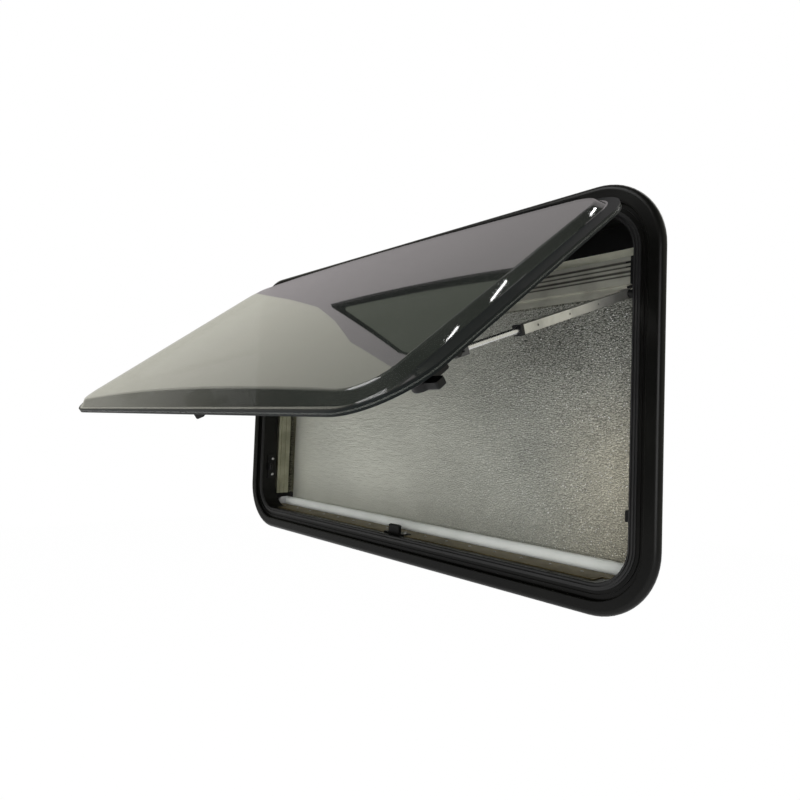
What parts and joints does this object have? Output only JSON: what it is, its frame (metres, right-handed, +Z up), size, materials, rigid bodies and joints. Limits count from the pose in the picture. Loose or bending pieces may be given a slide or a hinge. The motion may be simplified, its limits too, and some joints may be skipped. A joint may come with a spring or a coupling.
{
  "type": "caravan window",
  "caption": "Top-hung double acrylic caravan window in a black frame, propped open on telescopic stays, with turning latches, roller blind and flyscreen",
  "frame": {"origin": "centre of the wall cut-out on the wall's outer skin, where the wall seal lies", "axes": "+X to the right along the window as seen from outside, +Y into the vehicle, +Z up"},
  "size_m": [0.952, 0.4914, 0.532],
  "materials": {
    "frame_black": "black, satin moulded plastic",
    "rubber_black": "black, matt",
    "foam_grey": "dark grey closed-cell foam, matt",
    "acrylic_tint": "grey tinted acrylic, see-through, polished",
    "hinge_black": "black coated aluminium, satin",
    "bright_metal": "bright zinc plated",
    "stay_metal": "grey plated tube",
    "rod_metal": "bright drawn rod",
    "fitting_black": "black moulded plastic",
    "rail_aluminium": "anodised, ribbed",
    "brush_black": "black pile",
    "sill_brown": "brown lacquered strip",
    "blind_silver": "silvered thermal fabric, creased",
    "roller_white": "white tube with cloth wound on it",
    "mesh_black": "black insect mesh"
  },
  "bodies": {
    "frame": {"outer_frame": "frame_black", "frame_gasket": "rubber_black", "wall_seal": "foam_grey", "hinge_rail": "hinge_black", "hinge_rivets": "hinge_black", "inner_frame": "frame_black", "clamp_screws": "bright_metal", "striker_left": "fitting_black", "striker_right": "fitting_black", "striker_bottom": "fitting_black", "striker_screws": "bright_metal", "stay_anchor_left": "fitting_black", "stay_anchor_right": "fitting_black", "anchor_screws": "bright_metal", "side_rail_left": "rail_aluminium", "side_rail_right": "rail_aluminium", "brush_seal_left": "brush_black", "brush_seal_right": "brush_black", "sill_strip": "sill_brown", "sill_rivets": "bright_metal", "top_cassette": "frame_black", "cassette_end_left": "frame_black", "cassette_end_right": "frame_black", "roller_bracket_left": "roller_white", "roller_bracket_right": "roller_white"},
    "pane": {"outer_pane": "acrylic_tint", "inner_pane": "acrylic_tint", "edge_seal": "rubber_black", "pane_hinge_strip": "hinge_black", "latch_base_left": "fitting_black", "latch_base_right": "fitting_black", "latch_base_bottom": "fitting_black", "latch_screws": "bright_metal", "stay_bracket_left": "fitting_black", "stay_bracket_right": "fitting_black", "bracket_screws": "bright_metal"},
    "sleeve_left": {"stay_sleeve_left": "stay_metal", "sleeve_collar_left": "fitting_black"},
    "sleeve_right": {"stay_sleeve_right": "stay_metal", "sleeve_collar_right": "fitting_black"},
    "rod_left": {"stay_rod_left": "rod_metal", "rod_end_left": "rod_metal"},
    "rod_right": {"stay_rod_right": "rod_metal", "rod_end_right": "rod_metal"},
    "lever_left": {"latch_lever_left": "fitting_black"},
    "lever_right": {"latch_lever_right": "fitting_black"},
    "lever_bottom": {"latch_lever_bottom": "fitting_black"},
    "blind": {"blind_bar": "rail_aluminium", "blind_bar_cap_left": "fitting_black", "blind_bar_cap_right": "fitting_black", "blind_fabric": "blind_silver"},
    "blind_tube": {"blind_roller": "roller_white", "blind_roller_plugs": "fitting_black"},
    "fly": {"fly_bar": "rail_aluminium", "fly_bar_cap_left": "fitting_black", "fly_bar_cap_right": "fitting_black", "fly_mesh": "mesh_black"},
    "fly_tube": {"fly_roller": "rail_aluminium", "fly_roller_plugs": "fitting_black"}
  },
  "joints": [
    {"name": "pane_hinge", "type": "hinge", "parent": "frame", "child": "pane", "pos_m": [0, -0.0071, 0.2462], "axis": [1, 0, 0], "range_deg": [0, 53.6]},
    {"name": "stay_swing_left", "type": "hinge", "parent": "frame", "child": "sleeve_left", "pos_m": [-0.418, 0.01, 0.1275], "axis": [1, 0, 0], "range_deg": [0, 69.76]},
    {"name": "stay_slide_left", "type": "slide", "parent": "sleeve_left", "child": "rod_left", "axis": [0, 0.9454, 0.3259], "range_m": [0, 0.0763]},
    {"name": "stay_swing_right", "type": "hinge", "parent": "frame", "child": "sleeve_right", "pos_m": [0.418, 0.01, 0.1275], "axis": [1, 0, 0], "range_deg": [0, 69.76]},
    {"name": "stay_slide_right", "type": "slide", "parent": "sleeve_right", "child": "rod_right", "axis": [0, 0.9454, 0.3259], "range_m": [0, 0.0763]},
    {"name": "latch_turn_left", "type": "hinge", "parent": "pane", "child": "lever_left", "pos_m": [-0.398, -0.3194, 0.01595], "axis": [0, -0.5934, 0.8049], "range_deg": [0, 90]},
    {"name": "latch_turn_right", "type": "hinge", "parent": "pane", "child": "lever_right", "pos_m": [0.398, -0.3194, 0.01595], "axis": [0, 0.5934, -0.8049], "range_deg": [0, 90]},
    {"name": "latch_turn_bottom", "type": "hinge", "parent": "pane", "child": "lever_bottom", "pos_m": [0, -0.35159, -0.00778], "axis": [0, 0.5934, -0.8049], "range_deg": [0, 130]},
    {"name": "blind_slide", "type": "slide", "parent": "frame", "child": "blind", "axis": [0, 0, -1], "range_m": [0, 0.348], "deforming": ["blind_fabric"]},
    {"name": "blind_roll", "type": "hinge", "parent": "frame", "child": "blind_tube", "pos_m": [0, 0.0648, -0.2195], "axis": [-1, 0, 0], "range_deg": [0, 2100]},
    {"name": "fly_slide", "type": "slide", "parent": "frame", "child": "fly", "axis": [0, 0, -1], "range_m": [0, 0.375], "deforming": ["fly_mesh"]},
    {"name": "fly_roll", "type": "hinge", "parent": "frame", "child": "fly_tube", "pos_m": [0, 0.0816, 0.217], "axis": [-1, 0, 0], "range_deg": [0, 3070]}
  ],
  "couplings": [
    {"joint": "stay_swing_left", "follows": "pane_hinge", "ratio": 1.3013},
    {"joint": "stay_slide_left", "follows": "pane_hinge", "m_per_rad": 0.08155},
    {"joint": "stay_swing_right", "follows": "pane_hinge", "ratio": 1.3013},
    {"joint": "stay_slide_right", "follows": "pane_hinge", "m_per_rad": 0.08155},
    {"joint": "blind_roll", "follows": "blind_slide", "rad_per_m": 105.26},
    {"joint": "fly_roll", "follows": "fly_slide", "rad_per_m": 142.86}
  ]
}
